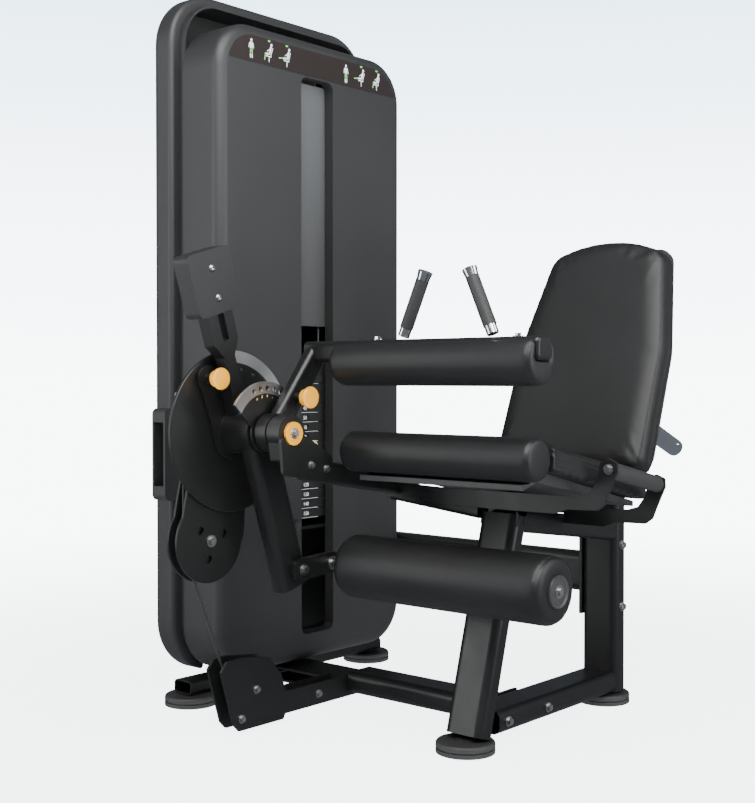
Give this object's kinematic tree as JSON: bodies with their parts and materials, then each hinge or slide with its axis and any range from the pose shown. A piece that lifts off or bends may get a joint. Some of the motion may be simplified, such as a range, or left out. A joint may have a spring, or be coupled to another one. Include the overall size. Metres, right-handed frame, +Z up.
{
  "type": "leg extension machine",
  "caption": "Seated leg extension and leg curl machine: padded seat with sliding back rest, swinging shin roller, adjustable thigh pad and a shrouded weight stack driven by a cable.",
  "frame": {"origin": "on the floor under the middle of the bounding box", "axes": "+X from the weight tower to the free side of the seat, +Y from the feet of the user to the back rest, +Z up"},
  "size_m": [1.1199, 1.3301, 1.69],
  "materials": {
    "shell": "satin",
    "placard": "satin print",
    "window": "tinted",
    "frame_paint": "satin powder coat",
    "chrome": "polished",
    "plates": "painted",
    "steel": "zinc plated",
    "amber": "moulded",
    "rubber": "matte",
    "nylon": "moulded",
    "cable": "coated steel cable",
    "upholstery": "grained vinyl",
    "board": "moulded"
  },
  "bodies": {
    "frame": {"rear_shroud": "shell", "front_shroud": "shell", "placard": "placard", "slot_window": "window", "tower_frame": "frame_paint", "guide_rods": "chrome", "resting_plates": "plates", "stack_cushions": "rubber", "pulley_mounts": "frame_paint", "floor_bracket": "frame_paint", "lower_cable": "cable", "drive_cable": "cable", "stack_cable": "cable", "sector_plate": "steel", "front_leg": "frame_paint", "base_tube": "frame_paint", "rear_post": "frame_paint", "seat_rail": "frame_paint", "cross_tube": "frame_paint", "mid_beam": "frame_paint", "pivot_arm": "frame_paint", "pivot_bracket": "frame_paint", "handle_brackets": "frame_paint", "side_grips": "rubber", "bolster": "upholstery", "seat_cushion": "upholstery", "seat_board": "board", "feet": "rubber", "frame_bolts": "steel", "side_holder": "shell"},
    "cam": {"cam": "frame_paint", "cam_fasteners": "steel", "main_shaft": "steel", "pivot_cap": "amber"},
    "lever": {"lever_arm": "frame_paint", "counterweight": "plates", "lever_bumpers": "rubber", "shin_link": "frame_paint", "shin_axle": "steel"},
    "lever_pin": {"lever_knob": "amber"},
    "roller": {"shin_roller": "upholstery", "roller_core": "nylon"},
    "carriage_wheel": {"carriage_pulley": "nylon"},
    "floor_wheel": {"floor_pulley": "nylon"},
    "turning_wheel": {"turning_pulley": "nylon"},
    "base_wheel": {"base_pulley": "nylon"},
    "top_wheel": {"top_pulley": "nylon"},
    "stack": {"lifted_plates": "plates", "head_plate": "plates", "selector_rod": "steel"},
    "weight_pin": {"selector_pin": "amber"},
    "thigh": {"thigh_arm": "frame_paint", "thigh_pad": "upholstery", "grip_metal": "chrome", "grip_sleeves": "rubber"},
    "thigh_pin": {"thigh_knob": "amber"},
    "backrest": {"backrest_pad": "upholstery", "backrest_board": "board", "slide_tube": "chrome"},
    "back_lock": {"back_pin": "amber"}
  },
  "joints": [
    {"name": "cam_turn", "type": "hinge", "parent": "frame", "child": "cam", "pos_m": [0, -0.493, 0.657], "axis": [-1, 0, 0], "range_deg": [0, 80], "deforming": ["lower_cable"]},
    {"name": "lever_set", "type": "hinge", "parent": "cam", "child": "lever", "pos_m": [0, -0.493, 0.657], "axis": [-1, 0, 0], "range_deg": [0, 75]},
    {"name": "lever_pin_pull", "type": "slide", "parent": "lever", "child": "lever_pin", "axis": [1, 0, 0], "range_m": [-0.007, 0.003]},
    {"name": "roller_spin", "type": "hinge", "parent": "lever", "child": "roller", "pos_m": [0.258, -0.298, 0.365], "axis": [1, 0, 0], "continuous": true},
    {"name": "carriage_pulley_spin", "type": "hinge", "parent": "cam", "child": "carriage_wheel", "pos_m": [-0.192, -0.548, 0.427], "axis": [-1, 0, 0], "range_deg": [0, 124]},
    {"name": "floor_pulley_spin", "type": "hinge", "parent": "frame", "child": "floor_wheel", "pos_m": [-0.192, -0.426, 0.092], "axis": [-1, 0, 0], "range_deg": [0, 308]},
    {"name": "turning_pulley_spin", "type": "hinge", "parent": "frame", "child": "turning_wheel", "pos_m": [-0.234, -0.087, 0.042], "axis": [0, 0, -1], "range_deg": [0, 366]},
    {"name": "base_pulley_spin", "type": "hinge", "parent": "frame", "child": "base_wheel", "pos_m": [-0.477, -0.045, 0.087], "axis": [0, -1, 0], "range_deg": [0, 342]},
    {"name": "top_pulley_spin", "type": "hinge", "parent": "frame", "child": "top_wheel", "pos_m": [-0.477, -0.045, 1.485], "axis": [0, -1, 0], "range_deg": [0, 342]},
    {"name": "stack_lift", "type": "slide", "parent": "frame", "child": "stack", "axis": [0, 0, 1], "range_m": [0, 0.27], "deforming": ["stack_cable"]},
    {"name": "weight_pin_pull", "type": "slide", "parent": "stack", "child": "weight_pin", "axis": [1, 0, 0], "range_m": [0, 0.075]},
    {"name": "thigh_set", "type": "hinge", "parent": "frame", "child": "thigh", "pos_m": [0, -0.493, 0.657], "axis": [1, 0, 0], "range_deg": [0, 60]},
    {"name": "thigh_pin_pull", "type": "slide", "parent": "thigh", "child": "thigh_pin", "axis": [1, 0, 0], "range_m": [-0.0065, 0.003]},
    {"name": "back_slide", "type": "slide", "parent": "frame", "child": "backrest", "axis": [0, -0.9336, 0.3584], "range_m": [-0.025, 0.125]},
    {"name": "back_pin_pull", "type": "slide", "parent": "frame", "child": "back_lock", "axis": [-1, 0, 0], "range_m": [-0.005, 0.003]}
  ],
  "couplings": [
    {"joint": "stack_lift", "follows": "cam_turn", "m_per_rad": 0.19},
    {"joint": "floor_pulley_spin", "follows": "cam_turn", "ratio": 3.8},
    {"joint": "turning_pulley_spin", "follows": "cam_turn", "ratio": 4.5238},
    {"joint": "base_pulley_spin", "follows": "cam_turn", "ratio": 4.2222},
    {"joint": "top_pulley_spin", "follows": "cam_turn", "ratio": 4.2222},
    {"joint": "carriage_pulley_spin", "follows": "cam_turn", "ratio": 1.5}
  ]
}
